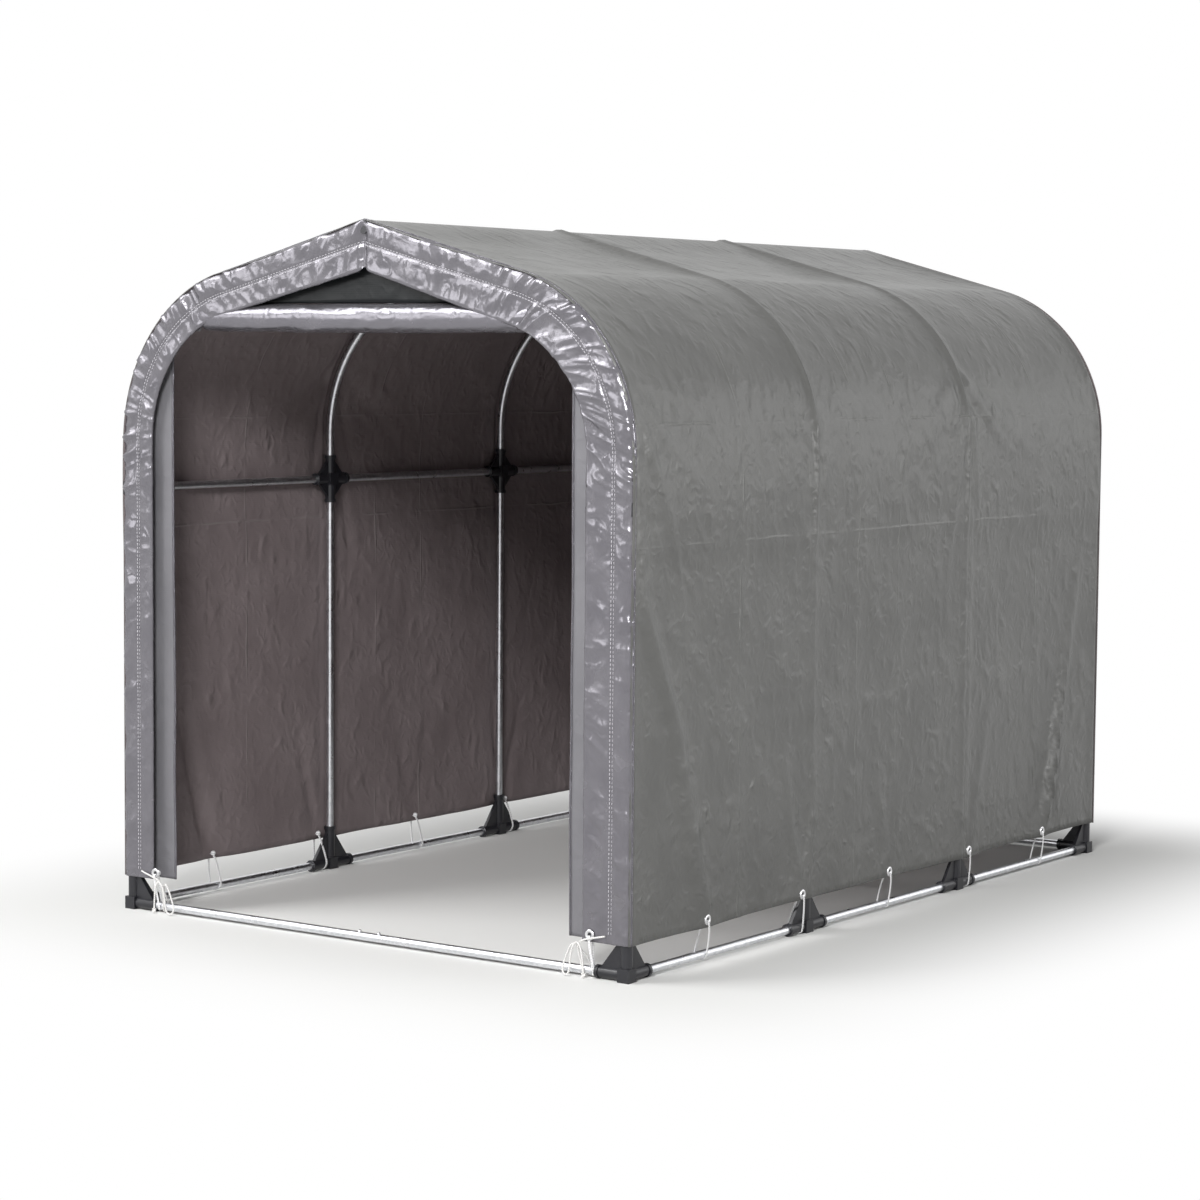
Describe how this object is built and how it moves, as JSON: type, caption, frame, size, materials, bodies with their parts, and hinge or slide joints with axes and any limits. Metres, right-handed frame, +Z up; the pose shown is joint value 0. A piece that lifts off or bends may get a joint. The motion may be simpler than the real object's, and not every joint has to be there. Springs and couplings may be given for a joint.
{
  "type": "bike shelter",
  "caption": "Open-fronted bike shelter: hooped steel pipes in moulded resin joints under a fitted grey sheet cover, with its front door rolled up.",
  "frame": {"origin": "centre of the footprint, on the ground", "axes": "+X to the right seen from the doorway, +Y from the doorway to the back, +Z up"},
  "size_m": [1.4774, 2.2267, 1.6307],
  "materials": {
    "galvanised_pipe": "galvanised, satin",
    "black_resin": "moulded, slightly glossy",
    "cover_sheet": "coated woven polyethylene, semi-matt",
    "door_sheet": "coated woven polyethylene, glossy",
    "elastic_tie": "woven sleeve",
    "cord": "braided"
  },
  "bodies": {
    "root": {"front_hoop_legs": "galvanised_pipe", "second_hoop_legs": "galvanised_pipe", "third_hoop_legs": "galvanised_pipe", "back_hoop_legs": "galvanised_pipe", "front_hoop_bows": "galvanised_pipe", "second_hoop_bows": "galvanised_pipe", "third_hoop_bows": "galvanised_pipe", "back_hoop_bows": "galvanised_pipe", "left_base_rails": "galvanised_pipe", "right_base_rails": "galvanised_pipe", "left_mid_rails": "galvanised_pipe", "right_mid_rails": "galvanised_pipe", "ridge_rails": "galvanised_pipe", "front_sill_left": "galvanised_pipe", "front_sill_right": "galvanised_pipe", "back_sill_left": "galvanised_pipe", "back_sill_right": "galvanised_pipe", "front_left_corner_joint": "black_resin", "front_right_corner_joint": "black_resin", "back_left_corner_joint": "black_resin", "back_right_corner_joint": "black_resin", "left_base_tees": "black_resin", "right_base_tees": "black_resin", "front_mid_tees": "black_resin", "back_mid_tees": "black_resin", "left_mid_crosses": "black_resin", "right_mid_crosses": "black_resin", "ridge_end_joints": "black_resin", "ridge_cross_joints": "black_resin", "main_cover": "cover_sheet", "front_fascia": "door_sheet", "front_panel": "cover_sheet", "rolled_door": "door_sheet", "back_panel": "cover_sheet", "left_ties": "elastic_tie", "right_ties": "elastic_tie", "front_ties": "elastic_tie", "back_ties": "elastic_tie", "left_drawcord": "cord", "right_drawcord": "cord", "drawcord_knots": "cord"}
  },
  "joints": []
}
